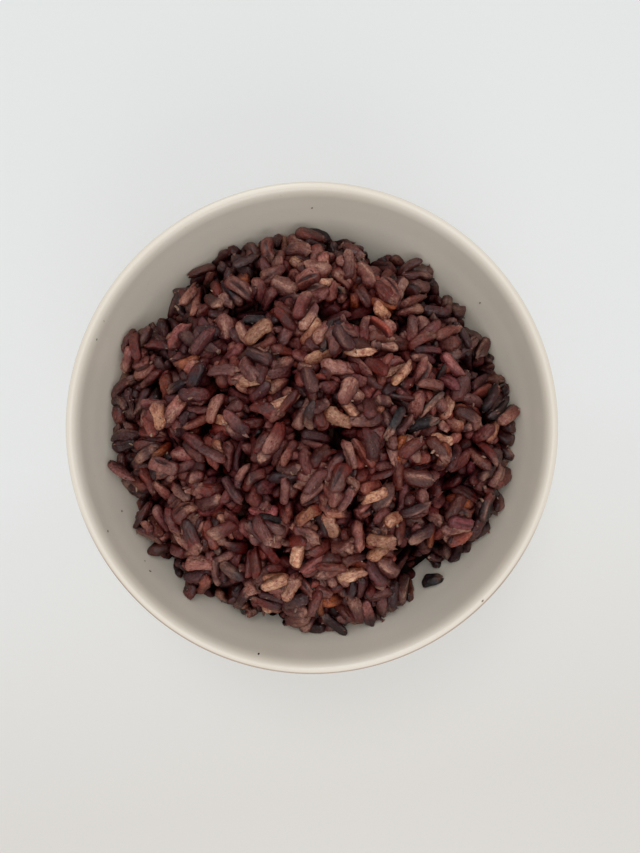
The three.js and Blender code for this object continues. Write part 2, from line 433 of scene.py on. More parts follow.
def bowl_profile():
    """The bowl's section, from the axis under the foot to the axis inside, as rows of radius and height."""
    foot_width = FOOT_OUTER_RADIUS / RIM_RADIUS * curve_width(share_down(0, BELLY_DEPTH))
    foot_depth = (BELLY_DEPTH + WIDEST_ABOVE_LIP) * curve_width(foot_width) - WIDEST_ABOVE_LIP
    recess = (FOOT_INNER_RADIUS - FOOT_RECESS_ROUND, FOOT_RECESS_Z - FOOT_RECESS_ROUND)
    foot_inner = (FOOT_INNER_RADIUS + FOOT_EDGE_ROUND, FOOT_EDGE_ROUND)
    foot_outer = (FOOT_OUTER_RADIUS - FOOT_EDGE_ROUND, FOOT_EDGE_ROUND)
    lip_outer = (RIM_RADIUS - LIP_OUTER_ROUND, LIP_Z - LIP_OUTER_ROUND)

    # The lip's inner round ends short of upright, where it runs smoothly into the flared wall.
    came_in = CAVITY_RADIUS - wall_radius(LIP_INNER_DOWN, CAVITY_RADIUS, CAVITY_DEPTH)
    lean = math.atan(came_in / LIP_INNER_ACROSS)
    lip_end = LIP_INNER_DOWN * (1 - math.sin(lean))
    lip_inner = (wall_radius(lip_end, CAVITY_RADIUS, CAVITY_DEPTH) + LIP_INNER_ACROSS * math.cos(lean),
                 LIP_Z - LIP_INNER_DOWN)
    profile = np.concatenate([
        level_line(0, recess[0] - 1, FOOT_RECESS_Z, 12),
        quarter_round(recess, FOOT_RECESS_ROUND, FOOT_RECESS_ROUND, 90, 0),
        quarter_round(foot_inner, FOOT_EDGE_ROUND, FOOT_EDGE_ROUND, 180, 270),
        level_line(FOOT_INNER_RADIUS + 2 * FOOT_EDGE_ROUND, FOOT_OUTER_RADIUS - 2 * FOOT_EDGE_ROUND, 0, 4),
        quarter_round(foot_outer, FOOT_EDGE_ROUND, FOOT_EDGE_ROUND, -90, 0),
        [[FOOT_OUTER_RADIUS, height] for height in FOOT_SIDE_HEIGHTS],
        wall_curve(LIP_OUTER_ROUND, foot_depth, RIM_RADIUS, BELLY_DEPTH, 44)[::-1],
        quarter_round(lip_outer, LIP_OUTER_ROUND, LIP_OUTER_ROUND, 0, 90)[1:],
        quarter_round(lip_inner, LIP_INNER_ACROSS, LIP_INNER_DOWN, 90, 180 - math.degrees(lean), 12),
        wall_curve(lip_end, CAVITY_DEPTH, CAVITY_RADIUS, CAVITY_DEPTH, 64)[1:],
    ])
    spacing = np.linalg.norm(np.diff(profile, axis=0), axis=1)
    return profile[np.concatenate([[True], spacing > 0.02])]


def bowl_piece():
    """The bowl as one fine lathe, with the faint rings that throwing leaves."""
    profile = bowl_profile()
    turns = np.arange(BOWL_SEGMENTS) * 2 * np.pi / BOWL_SEGMENTS
    radius = np.repeat(profile[1:-1, 0, None], BOWL_SEGMENTS, axis=1)
    height = np.repeat(profile[1:-1, 1, None], BOWL_SEGMENTS, axis=1)

    # Rings on the wall, fading out at the lip and low down.
    wave = np.sin(height * 1.15 + 0.5 * np.sin(height * 0.31) + turns)
    wave += 0.6 * np.sin(height * 0.53 - turns + 1)
    fade = np.clip((height - 10) / 8, 0, 1) * np.clip((LIP_Z - 1 - height) / 4, 0, 1)
    radius = radius + RIPPLE_MM * wave * fade * np.where(radius > FOOT_OUTER_RADIUS + 1, 1, 0)

    around = np.stack([radius * np.cos(turns), radius * np.sin(turns), height], axis=2)
    points = np.concatenate([[[0, 0, profile[0, 1]]], around.reshape(-1, 3), [[0, 0, profile[-1, 1]]]])
    faces = [turned_over(group) for group in ring_faces(len(profile) - 2, BOWL_SEGMENTS)]
    mesh = build_mesh("glazed_bowl", points, faces)
    mesh.materials.append(glaze_material())
    mesh.materials.append(bare_clay_material())
    for face in mesh.polygons:
        if face.center.z < BARE_CLAY_BELOW * MM:
            face.material_index = 1
    return new_object("glazed_bowl", mesh)


# ---- The heap's surface ----

class HeapSurface:
    """The heap's outer surface as heights over a square grid, carried on steeply past its edge."""

    STEP = 1.0
    HALF = 64            # grid steps from the middle to a side
    RAY_Z = 200
    NO_HEAP = -200.0
    LOWEST = 20
    EDGE_SLOPE = 5.0
    EDGE_STEPS = 14      # grid steps over which the fall is carried on
    SMOOTHING = 2
    SIGHT_STEPS = 20
    NEXT_TO = ((0, 1), (0, -1), (1, 0), (-1, 0))

    def __init__(self, node):
        tree = tree_of(node)
        places = np.arange(-self.HALF, self.HALF + 1) * self.STEP
        heights = np.full((len(places), len(places)), np.nan)
        for row, y in enumerate(places):
            for column, x in enumerate(places):
                hit = tree.ray_cast(Vector((x, y, self.RAY_Z)), Vector((0, 0, -1)))
                if hit[0] is not None and hit[1].z > 0.1:
                    heights[row, column] = hit[0].z
        self.heights = self.carried_out(heights)
        self.plain_heights = self.heights.copy()
        self.add_relief(places)
        self.rise_y, self.rise_x = np.gradient(self.smoothed(self.heights), self.STEP)

    def carried_out(self, heights):
        """Fills the grid past the heap's edge with a steep fall."""
        filled = np.where(np.isnan(heights), self.NO_HEAP, heights)
        for _ in range(self.EDGE_STEPS):
            grown = filled
            for shift in self.NEXT_TO:
                grown = np.maximum(grown, np.roll(filled, shift, (0, 1)) - self.EDGE_SLOPE * self.STEP)
            filled = np.where(np.isnan(heights), grown, heights)
        return np.maximum(filled, self.LOWEST)

    def add_relief(self, places):
        """Adds the humps and hollows, then the pits and the dip in the edge."""
        x, y = np.meshgrid(places, places)
        for length, height in RELIEF_WAVES:
            for _ in range(WAVES_EACH):
                turn, first, second = rng.uniform(0, 2 * np.pi, 3)
                along = (x * math.cos(turn) + y * math.sin(turn)) * 2 * np.pi / length + first
                across = (y * math.cos(turn) - x * math.sin(turn)) * 2 * np.pi / length + second
                self.heights += height / WAVES_EACH ** 0.5 * np.sin(along) * np.sin(across) * WAVE_GAIN
        for pit in PITS:
            self.heights -= self.hollow(x, y, *pit)
        dip = self.hollow(x, y, *EDGE_DIP)
        self.heights -= dip
        self.plain_heights -= dip * EDGE_DIP_OPEN

    def hollow(self, x, y, pixel_x, pixel_y, radius, depth):
        """How deep a round hollow is at each place of the grid."""
        place = self.seen_at((pixel_x, pixel_y))
        return depth * np.exp(-((x - place[0]) ** 2 + (y - place[1]) ** 2) / radius ** 2)

    def seen_at(self, pixel):
        """The place on the surface that the camera sees at a pixel."""
        ray = pixel_ray(pixel)
        place = np.array([0.0, 0.0, LIP_Z])
        for _ in range(self.SIGHT_STEPS):
            place[:2] = [CAMERA[axis] + ray[axis] / ray[2] * (place[2] - CAMERA[2]) for axis in (0, 1)]
            place[2] = self.height_at(place[0], place[1])
        return place

    def smoothed(self, heights):
        """The heights without their small bumps."""
        for _ in range(self.SMOOTHING):
            heights = sum(np.roll(heights, shift, (0, 1)) for shift in ((0, 0), *self.NEXT_TO)) / 5
        return heights

    def read(self, grid, x, y):
        """A grid's value at places between its points."""
        column = np.clip(x / self.STEP + self.HALF, 0, grid.shape[1] - 1.001)
        row = np.clip(y / self.STEP + self.HALF, 0, grid.shape[0] - 1.001)
        left, low = column.astype(int), row.astype(int)
        across, up = column - left, row - low
        bottom = grid[low, left] * (1 - across) + grid[low, left + 1] * across
        top = grid[low + 1, left] * (1 - across) + grid[low + 1, left + 1] * across
        return bottom * (1 - up) + top * up

    def height_at(self, x, y):
        """The surface's height at one place."""
        return self.read(self.heights, np.array([x]), np.array([y]))[0]

    def normals(self, places):
        """The directions that point out of the heap at places."""
        x, y = places[..., 0], places[..., 1]
        rises = [-self.read(rise, x, y) for rise in (self.rise_x, self.rise_y)]
        return unit(np.stack([*rises, np.ones_like(x)], axis=-1))

    def above(self, places):
        """How far places are outside the heap's surface, and the directions that point out of it."""
        normals = self.normals(places)
        height = self.read(self.heights, places[..., 0], places[..., 1])
        return (places[..., 2] - height) * normals[..., 2], normals

    def openness(self, places):
        """1 at the heap's surface and above, falling to 0 deep in it; the grains' painted shade follows it.
        A pit counts as deep.
        """
        under = self.read(self.plain_heights, places[..., 0], places[..., 1]) - places[..., 2]
        return np.clip(1.15 - under / DEEP_MM, 0, 1)


def core_piece(surface):
    """A closed solid under the grains, near black as painted shade, a layer in from the heap's surface and
    clear of the wall.
    """
    turns = np.arange(CORE_SPOKES) * 2 * np.pi / CORE_SPOKES

    def ring(radius, z):
        """Points at radii and heights, one on each spoke."""
        return np.stack([radius * np.cos(turns), radius * np.sin(turns), z], axis=1)

    edge_radius = wall_radius(CORE_WIDTH_DEPTH, CAVITY_RADIUS, CAVITY_DEPTH) - CORE_WALL_GAP
    rows = []
    for share in np.linspace(0, 1, CORE_RINGS)[1:]:
        top = ring(edge_radius * share, np.zeros(CORE_SPOKES))
        top[:, 2] = surface.read(surface.heights, top[:, 0], top[:, 1])
        inward = top - surface.normals(top) * CORE_DEPTH
        height = np.maximum(inward[:, 2], LIP_Z - CORE_EDGE_DEPTH)
        limit = wall_radius(LIP_Z - height, CAVITY_RADIUS, CAVITY_DEPTH) - CORE_WALL_GAP
        rows.append(ring(np.minimum(np.hypot(inward[:, 0], inward[:, 1]), limit), height))

    # From its edge the core goes on down along the wall, and closes over the bowl's floor.
    edge_depth = LIP_Z - rows[-1][:, 2].min()
    core_floor = CAVITY_DEPTH - CORE_WALL_GAP
    side = wall_curve(edge_depth + 2, core_floor - 1, CAVITY_RADIUS - CORE_WALL_GAP, core_floor, 6)
    rows += [ring(radius, np.full(CORE_SPOKES, z)) for radius, z in side[:-1]]
    middle_top = surface.height_at(0.0, 0.0) - CORE_DEPTH
    points = np.concatenate([[[0, 0, middle_top]], *rows, [[0, 0, rows[-1][0, 2] - 0.3]]])
    mesh = build_mesh("heap_core", points, ring_faces(len(rows), CORE_SPOKES))
    mesh.materials.append(core_material())
    return new_object("heap_core", mesh)


# ---- Letting the grains settle ----

SPINE = np.array([-1.0, -0.34, 0.34, 1.0])       # four balls stand for a grain while it settles
BALL_SIZE = np.array([0.80, 1.0, 1.0, 0.80])
BALL_RADIUS = 0.95                               # a ball's radius, as a share of a grain's half width
SOFTNESS = 0.86                                  # cooked grains press into each other
WATCH_MM = 0.9                                   # pairs this near are watched between searches
SEARCH_EVERY = 4
SETTLE_STEPS = 110
PULL_MM = 0.22
PULLED_SHARE = 0.85                              # the pull has ended after this share of the steps
PUSH_GAIN = 1.35
MOVE_GAIN = 1.5
OUTSIDE_PUSH = 0.25                              # how firmly grains that stand out are pushed back
WALL_CLEARANCE = 0.15

# A cell of the search grid, and one of each pair of opposite cells around it.
CELL_STEPS = [step for step in itertools.product((-1, 0, 1), repeat=3) if step >= (0, 0, 0)]


def near_pairs(places, reach, owner):
    """Pairs of balls of different grains whose middles are nearer than reach."""
    cells = np.floor(places / reach).astype(np.int64)
    cells -= cells.min(axis=0) - 1
    spans = cells.max(axis=0) + 2
    keys = (cells[:, 0] * spans[1] + cells[:, 1]) * spans[2] + cells[:, 2]
    order = np.argsort(keys, kind="stable")
    ordered = keys[order]
    firsts, seconds = [], []
    for step in CELL_STEPS:
        wanted = keys + (step[0] * spans[1] + step[1]) * spans[2] + step[2]
        start = np.searchsorted(ordered, wanted, "left")
        count = np.searchsorted(ordered, wanted, "right") - start
        first = np.repeat(np.arange(len(places)), count)
        offset = np.arange(count.sum()) - np.repeat(np.cumsum(count) - count, count)
        second = order[np.repeat(start, count) + offset]
        keep = owner[first] != owner[second]
        if step == (0, 0, 0):
            keep &= first < second
        first, second = first[keep], second[keep]
        apart = places[first] - places[second]
        close = np.einsum("ij,ij->i", apart, apart) < reach ** 2
        firsts.append(first[close])
        seconds.append(second[close])
    return np.concatenate(firsts), np.concatenate(seconds)


def sum_by(index, values, size):
    """Adds up rows of values that share an index."""
    return np.stack([np.bincount(index, values[:, axis], size) for axis in range(3)], axis=1)


def settle(grains, surface):
    """Pulls the grains on to the core until they lie against each other, the wall and the fixed grains."""
    centre, axis = grains["centre"], grains["axis"]
    half, width, fixed = grains["half"], grains["width"], grains["fixed"]
    balls = len(SPINE)
    owner = np.repeat(np.arange(len(centre)), balls)
    radius = (width[:, None] * BALL_SIZE * SOFTNESS).ravel()
    weight = np.where(fixed, 0.0, 1.0)[owner]
    size = len(owner)

    for step in range(SETTLE_STEPS):
        pull = PULL_MM * max(0.0, 1 - step / (SETTLE_STEPS * PULLED_SHARE))
        centre -= surface.normals(centre) * pull * (~fixed)[:, None]
        places = (centre[:, None] + axis[:, None] * (half[:, None] * SPINE)[:, :, None]).reshape(-1, 3)
        if step % SEARCH_EVERY == 0:
            first, second = near_pairs(places, 2 * radius.max() + WATCH_MM, owner)

        # Balls that overlap push each other apart, and a fixed grain doesn't give way.
        apart = places[first] - places[second]
        distance = np.maximum(np.linalg.norm(apart, axis=1), 1e-6)
        overlap = radius[first] + radius[second] - distance
        touching = overlap > 0
        a, b = first[touching], second[touching]
        push = apart[touching] * (overlap[touching] / distance[touching])[:, None]
        share = weight[a] / np.maximum(weight[a] + weight[b], 1e-9)
        move = sum_by(a, push * share[:, None], size) - sum_by(b, push * (1 - share)[:, None], size)
        count = np.bincount(a, minlength=size) + np.bincount(b, minlength=size)
        move *= (PUSH_GAIN / np.maximum(count, 1))[:, None]

        # The core and the wall hold, and nothing stands far out of the heap.
        above, normals = surface.above(places)
        low = np.clip(radius - CORE_DEPTH - above, 0, None)
        high = np.clip(above + radius - OUTER_SLACK_MM, 0, None)
        move += normals * (low - OUTSIDE_PUSH * high)[:, None]
        move += wall_push(places, radius)

        move = (move * weight[:, None]).reshape(-1, balls, 3)
        centre += move.mean(axis=1) * MOVE_GAIN
        lever = np.einsum("k,nkd->nd", SPINE, move) / (SPINE ** 2).sum()
        lever -= axis * np.einsum("nd,nd->n", lever, axis)[:, None]
        axis += lever / half[:, None]
        axis /= np.linalg.norm(axis, axis=1, keepdims=True)


def wall_push(places, radius):
    """How balls are pushed back in from the bowl's wall."""
    out = np.maximum(np.hypot(places[:, 0], places[:, 1]), 1e-6)
    down = np.clip(LIP_Z - places[:, 2] + WIDEST_ABOVE_LIP, 0.01, None)
    n = BELLY_EXPONENT
    widest = CAVITY_RADIUS / curve_width(share_down(0, CAVITY_DEPTH))
    reach_down = CAVITY_DEPTH + WIDEST_ABOVE_LIP
    value = (out / widest) ** n + (down / reach_down) ** n - 1
    slope_out = n * out ** (n - 1) / widest ** n
    slope_down = n * down ** (n - 1) / reach_down ** n
    steep = np.hypot(slope_out, slope_down)
    too_far = np.clip(value / steep + radius + WALL_CLEARANCE, 0, None)
    push = too_far / steep
    inward = [-places[:, axis] / out * slope_out * push for axis in (0, 1)]
    return np.stack([*inward, slope_down * push], axis=1)


# ---- The kinds of grain ----

TONE_SPREAD = (-0.22, 0.46)        # mean and spread of how much lighter a grain is, as a power of e
PALE_TONE_SPREAD = (0.12, 0.16)
MOIST_TINT = (0.87, 0.655, 0.625)  # moisture deepens every grain's colours by these factors


def grain_kind(share, length, width, groove, bend, body, edge, spread=TONE_SPREAD, burst=0.12):
    """A kind of grain: its share of the heap, the ranges of its length and width in mm and of its grooves'
    depth and its bend, the two colours between which its body lies, the colour of its edges, the spread of
    its tone, and the chance that its grooves have burst open."""
    body, edge = [np.array(linear(*colour)) for colour in body], np.array(linear(*edge))
    return {"share": share, "length": length, "width": width, "groove": groove, "bend": bend,
            "body": body, "edge": edge, "spread": spread, "burst": burst}


KINDS = {
    "mauve": grain_kind(0.25, (7.8, 9.5), (3.0, 3.8), (0.0, 0.16), (-0.02, 0.10),
                        body=((120, 73, 70), (158, 113, 106)), edge=(106, 29, 24)),
    "purple": grain_kind(0.24, (7.6, 9.4), (2.9, 3.6), (0.0, 0.16), (-0.02, 0.12),
                         body=((68, 32, 37), (106, 57, 60)), edge=(70, 13, 17)),
    "brown": grain_kind(0.17, (7.5, 9.2), (2.9, 3.7), (0.0, 0.12), (0, 0.10),
                        body=((122, 56, 40), (162, 101, 80)), edge=(104, 26, 16)),
    "split": grain_kind(0.13, (7.2, 9.2), (3.6, 4.7), (0.2, 0.55), (0, 0.14),
                        body=((132, 82, 72), (166, 122, 108)), edge=(110, 33, 24), burst=0.6),
    "black": grain_kind(0.06, (7.2, 9.8), (1.8, 2.6), (0.02, 0.12), (0, 0.10),
                        body=((15, 9, 16), (33, 23, 33)), edge=(16, 6, 8)),
    "tan": grain_kind(0.05, (7.2, 8.6), (3.0, 3.6), (0.0, 0.08), (0, 0.06),
                      body=((192, 158, 122), (226, 200, 166)), edge=(162, 98, 66), spread=PALE_TONE_SPREAD),
    "amber": grain_kind(0.02, (7.2, 8.6), (3.0, 3.8), (0.0, 0.12), (0, 0.08),
                        body=((140, 74, 32), (178, 108, 54)), edge=(104, 30, 10), spread=PALE_TONE_SPREAD),
    "broken": grain_kind(0.09, (3.8, 5.8), (2.8, 3.5), (0.0, 0.2), (0, 0.05),
                         body=((112, 62, 56), (152, 101, 90)), edge=(84, 25, 20)),
}
KIND_NAMES = list(KINDS)

# What one end of a grain fades to: pale starch, deep red bran or dark purple.
END_TONES = np.array([linear(204, 173, 150), linear(122, 40, 26), linear(38, 20, 34)])
END_TONE_CHANCES = (0.36, 0.28, 0.36)
PAINTED_SHEEN_TONE = np.array(linear(166, 129, 121))    # painted pale sheen on the side that lies outward
STARCH_TONE = np.array(linear(194, 164, 144))  # in burst grooves and around torn ends
FLAKE_TONES = np.array([linear(116, 66, 54), linear(74, 36, 32),
                        linear(150, 112, 98), linear(170, 138, 116)])
FLANK_SHADE = (0.3, 0.6)  # how much a grain darkens from its outward side to its underside
FLANK_FROM = 0.7          # outward share at which a flank's shade starts

# ---- The shape of a grain ----

# Directions around a grain's section, in degrees. They lie closer together at the two grooves.
FINE_AROUND = (0, 22, 42, 58, 70, 80, 90, 100, 111, 126, 146,
               168, 190, 210, 229, 245, 255, 264, 273, 284, 302, 330)
MID_AROUND = (0, 35, 65, 90, 115, 145, 180, 215, 250, 270, 290, 325)
LOW_AROUND = (0, 45, 90, 135, 180, 225, 270, 315)
DETAIL = {"fine": (FINE_AROUND, 18), "mid": (MID_AROUND, 10), "low": (LOW_AROUND, 6)}
GROOVE_TURNS = (90.0, 264.0)
GROOVE_WIDTH = 0.24     # radians
SECOND_GROOVE = 0.7     # the second groove's depth, as a share of what it would be as the first
TORN_CHANCE = 0.5       # how often a grain's thick end is torn
PRESSED_FACES = 4       # flat faces that neighbours press into a grain
PRESSED_FLAT = 0.85
WIDER = 1.17            # makes up for what the faces take off
THICKER = 1.16


class Draws:
    """Random numbers for a batch of grains, one for each grain."""

    def __init__(self, seed, count):
        self.source = np.random.default_rng(seed)
        self.count = count

    def between(self, low, high):
        """A number in a range."""
        return self.source.uniform(low, high, (self.count, 1))

    def phase(self):
        """A turn in any direction."""
        return self.between(0, 6.3)


def grain_template(around, rings):
    """Where each point of a grain lies: its share along (-1 to 1) and its turn around, and the faces."""
    along = -np.cos(np.pi * np.arange(1, rings) / rings)
    t = np.concatenate([[-1.0], np.repeat(along, len(around)), [1.0]])
    a = np.concatenate([[0.0], np.tile(np.radians(around), rings - 1), [0.0]])
    quads, start, end = ring_faces(rings - 1, len(around))
    return t, a, quads, np.concatenate([start, end])


def grain_girth(t, a, blunt, taper, pointed, groove, draws):
    """How far a grain's skin reaches out from its axis, how deep its grooves are and how torn its end is."""
    between, phase = draws.between, draws.phase
    fullness = (1 - np.abs(t) ** blunt) ** 0.52 * (1 + taper * t)
    fullness = fullness * (1 - pointed * np.clip(t, 0, 1) ** 3 * 0.5)
    torn = (between(0, 1) < TORN_CHANCE) * np.clip((t - between(0.3, 0.8)) / 0.4, 0, 1)
    tatters = torn * (0.4 * np.cos(3 * a + phase()) + 0.28 * np.cos(5 * a + phase()))

    grooves = np.zeros((draws.count, len(t)))
    fade = np.clip(1 - (np.abs(t) / 0.92) ** 4, 0, 1)
    strengths = (between(*groove), between(*groove) * SECOND_GROOVE)
    for turn, strength in zip(GROOVE_TURNS, strengths):
        window = falloff(t - between(-0.3, 0.3), between(0.5, 1.2))
        grooves += strength * falloff(wrapped(a - math.radians(turn)), GROOVE_WIDTH) * fade * window

    ridges = 0.06 * np.cos(3 * a + phase()) + 0.05 * np.cos(5 * a + between(-1.5, 1.5) * t + phase())
    lumps = 0.12 * np.sin(t * between(2, 5) + a + phase()) * np.cos(2 * a + phase())
    lumps += between(0.02, 0.15) * np.sin(t * between(5, 9) - a + phase()) * np.cos(3 * a + phase())
    wrinkles = 0.055 * np.sin(t * between(9, 15) + phase()) * np.cos(4 * a + phase())
    dent = between(0, 0.34) * falloff(t - between(-0.6, 0.6), 0.25)
    dent = dent * falloff(wrapped(a - between(0, 6.28)), 0.7)
    return fullness * (1 + ridges + lumps + wrinkles + tatters - dent - grooves), grooves, torn


def press_faces(across, high, t, draws):
    """Neighbours press flat faces into a cooked grain."""
    for _ in range(PRESSED_FACES):
        facing = draws.phase()
        out_cos, out_sin = np.cos(facing), np.sin(facing)
        pressed = across * out_cos + high * out_sin + draws.between(-0.3, 0.3) * t - draws.between(0.5, 1.0)
        pressed = np.clip(pressed, 0, None) * PRESSED_FLAT
        across, high = across - out_cos * pressed, high - out_sin * pressed
    return across, high


def grain_shape(t, a, recipe, length, wide, draws):
    """The points of grains about their own middles, and their turns around, grooves and torn ends."""
    between, phase = draws.between, draws.phase
    thick = wide * between(0.7, 0.92)
    blunt = between(2.8, 6.0)
    taper = between(-0.14, 0.14)
    pointed = between(0.0, 0.35)
    twist = between(-0.45, 0.45)
    bend = between(*recipe["bend"]) * length
    sway = between(-0.07, 0.07) * length
    slant = between(-0.6, 0.6)
    reach, grooves, torn = grain_girth(t, a, blunt, taper, pointed, recipe["groove"], draws)
    turn = a + twist * t
    across, high = press_faces(reach * np.cos(turn), reach * np.sin(turn), t, draws)
    x = (t + 0.17 * torn * np.cos(2 * a + phase())) * length / 2
    x += slant * np.abs(t) ** 3 * reach * np.cos(turn - phase()) * wide / 2
    y = across * wide / 2 * WIDER + sway * (1 - t ** 2)
    z = high * thick / 2 * THICKER - bend * (t ** 2 - 0.35)
    return np.stack([x, y, z], axis=2), turn, grooves, torn


def grain_colours(recipe, t, a, outward, grooves, torn, draws):
    """A colour for each point: a duller back, which is a painted sheen, red flanks that are partly painted
    shade, red tips, grooves and pale splits.
    """
    between, phase, source = draws.between, draws.phase, draws.source
    lightness = between(0, 1)
    body = mixed(*recipe["body"], lightness) * np.exp(source.normal(*recipe["spread"], (draws.count, 1, 1)))

    # Each end fades to another tone, and the fade's place and strength differ from grain to grain.
    # A painted pale sheen on the outward side.
    colours = mixed(body, PAINTED_SHEEN_TONE, np.clip(outward, 0, 1) ** 3 * between(0, 0.3))
    for way, strongest in ((1, 1.0), (-1, 0.6)):
        tones = END_TONES[source.choice(len(END_TONES), draws.count, p=END_TONE_CHANCES)][:, None]
        end = np.clip((way * t - between(-0.8, 0.8)) / between(0.3, 1.0), 0, 1) * between(0, strongest)
        colours = mixed(colours, tones, end)

    # Flanks turn to the dark red edge tone as painted shade; tips and patches take it as the grain's own
    # colour.
    flank = np.clip((0.75 - outward) / between(0.5, 1.1), 0, 1)
    tips = np.clip((np.abs(t) - 0.74) / 0.2, 0, 1)
    patches = np.sin(t * between(2, 5) + phase()) * np.cos(a + phase()) + between(-0.5, 0.5)
    patches = np.clip(patches, 0, 1)
    redder = between(0.6, 0.95) * flank + 0.6 * tips * between(0, 1) + 0.7 * patches * between(0, 1)
    colours = mixed(colours, recipe["edge"], np.clip(redder, 0, 1))

    # A groove is dark, or pale where the bran has burst and shows the starch. Torn ends have a pale rim.
    opened = (between(0, 1) < recipe["burst"]).astype(float)
    cleft_tone = mixed(recipe["edge"] * 0.35, STARCH_TONE, opened)
    colours = mixed(colours, cleft_tone, np.clip(grooves / 0.2, 0, 1))
    colours = mixed(colours, STARCH_TONE, 0.45 * np.clip(torn * 2 - 1, 0, 1))

    # Painted shade: a flank lies against the next grain, in its shade.
    shade = 1 - between(*FLANK_SHADE) * np.clip(FLANK_FROM - outward, 0, 1)
    return colours * shade[..., None] * np.array(MOIST_TINT)


def grain_batch(grains, picked, kind, detail, surface):
    """Points, colours, local places, quads and end triangles of the picked grains, all of one kind."""
    around, rings = detail
    t, a, quads, caps = grain_template(around, rings)
    draws = Draws(1000 + KIND_NAMES.index(kind) * 10 + rings, len(picked))
    length, wide, roll = (grains[name][picked][:, None] for name in ("length", "width", "roll"))
    shape, turn, grooves, torn = grain_shape(t, a, KINDS[kind], length, wide, draws)

    # Each grain lies along its axis, with its flatter side out of the heap, give or take a roll.
    along = grains["axis"][picked]
    out = surface.normals(grains["centre"][picked])
    out = unit(out - along * np.einsum("nd,nd->n", out, along)[:, None])
    side = np.cross(out, along)
    up = out * np.cos(roll) + side * np.sin(roll)
    side = np.cross(up, along)
    points = grains["centre"][picked][:, None]
    for axis, direction in enumerate((along, side, up)):
        points = points + shape[..., axis, None] * direction[:, None]

    # Light falls off with depth in the heap, and below the lip at its edge.
    outward = np.cos(turn) * np.einsum("nd,nd->n", side, out)[:, None] + np.sin(turn) * np.cos(roll)
    colours = grain_colours(KINDS[kind], t, a, outward, grooves, torn, draws)
    open_air = surface.openness(points)[..., None]
    shaded = np.clip((points[..., 2:] - LIP_Z + RIM_SHADE_DEPTH) / RIM_SHADE_DEPTH * 2, RIM_SHADE, 1)
    lit = DEEP_LIGHT + (1 - DEEP_LIGHT) * open_air ** np.array(DEEP_FALL)
    colours = np.concatenate([colours * shaded * lit, open_air], axis=2)

    # The skin's pattern is read at a place of its own for each grain, so that no two look the same.
    local = shape + draws.source.uniform(-60, 60, (draws.count, 1, 3))
    return (points.reshape(-1, 3), colours.reshape(-1, 4), local.reshape(-1, 3),
            repeated(quads, len(t), draws.count), repeated(caps, len(t), draws.count))


# ---- Which grains there are ----

def marked(kind, x, y, turn, length, width, out=0.0):
    """A grain that stands out in the photograph: its kind, its middle in pixels, its turn in degrees, and
    its length, width and lift out of the heap in mm."""
    return {"kind": kind, "pixel": (x, y), "turn": turn, "length": length, "width": width, "out": out}


MARKED_GRAINS = [marked(*row) for row in (
    ("tan", 326, 280.5, 25, 6.4, 3.4, 0.4), ("tan", 258, 332, 35, 8.4, 3.8),
    ("tan", 319, 356.5, 20, 8.2, 3.1, 0.3), ("tan", 404, 375, 45, 8.0, 3.4, 0.3),
    ("tan", 361, 351, 0, 8.8, 3.2), ("brown", 361, 342, 0, 8.8, 3.0),
    ("tan", 284, 399, 20, 8.2, 3.1, 0.3), ("tan", 280, 386, 35, 7.6, 3.8),
    ("split", 288, 469, -6, 8.8, 4.2, 0.3), ("split", 338, 476, 70, 8.4, 4.4),
    ("tan", 310, 515, 30, 8.2, 3.7, 0.4), ("brown", 436, 449, -50, 8.4, 3.6, 0.3),
    ("tan", 376, 556, 50, 8.4, 3.6), ("tan", 396, 518, 12, 8.4, 3.4),
    ("tan", 296, 556, 80, 7.6, 3.4), ("amber", 333, 601, -10, 7.0, 4.2, 0.4),
    ("tan", 274, 585, 25, 7.4, 3.4, 0.2), ("tan", 291, 588, 60, 8.0, 3.8, 0.4),
    ("tan", 352, 575, 8, 8.2, 3.6, 0.3), ("tan", 274, 611, -20, 8.4, 3.6),
    ("brown", 312, 232, -8, 9.2, 3.9), ("brown", 448, 329, 20, 8.2, 3.4),
    ("brown", 420, 339, 30, 8.0, 3.4), ("black", 421, 424, 20, 8.8, 3.0, 0.2),
    ("black", 311, 418, 85, 10.4, 2.6, 0.2), ("black", 255, 318, 5, 9.0, 2.9),
    ("black", 492, 398, 60, 9.0, 2.8), ("black", 499, 408, 40, 8.6, 2.8),
    ("black", 488, 508, 70, 8.6, 3.0), ("brown", 117, 420, 85, 8.0, 4.2),
    ("tan", 157, 420, 88, 9.0, 3.5), ("brown", 197, 377, 65, 8.6, 3.6),
    ("mauve", 247, 366, -55, 8.8, 4.1, 0.4), ("mauve", 274, 437, 62, 9.6, 4.2, 0.3),
    ("mauve", 369, 404, 80, 8.8, 3.7, 0.3), ("mauve", 371, 445, -80, 8.8, 3.9, 0.3),
    ("brown", 320, 455, 40, 8.4, 3.7, 0.2), ("mauve", 315, 483, 55, 8.8, 3.7, 0.4),
    ("mauve", 285, 362, 25, 8.6, 3.8, 0.3), ("mauve", 337, 366, -12, 8.4, 3.7, 0.3),
    ("mauve", 375, 366, -38, 8.4, 3.8, 0.4), ("tan", 338, 419, -30, 8.2, 3.5, 0.2),
    ("brown", 372, 485, 15, 7.8, 3.7, 0.3),
)]
STRAY_GRAIN = marked("black", 433.5, 583, -2, 6.4, 3.4)

# Scraps of bran on the bowl: pixel, length in mm and tone.
DARK_BRAN, FAINT_BRAN = linear(58, 40, 32), linear(138, 122, 104)
SPECKS = (
    ((96.8, 339.5), 0.75, DARK_BRAN), ((258.5, 654), 0.95, DARK_BRAN),
    ((312, 208), 0.8, FAINT_BRAN), ((480, 303), 0.7, FAINT_BRAN),
    ((122, 511), 0.8, FAINT_BRAN), ((145, 561), 0.6, FAINT_BRAN),
    ((150, 571), 0.8, FAINT_BRAN), ((108, 531), 0.7, FAINT_BRAN),
    ((104, 321), 0.5, FAINT_BRAN), ((482.5, 601), 0.7, FAINT_BRAN),
)

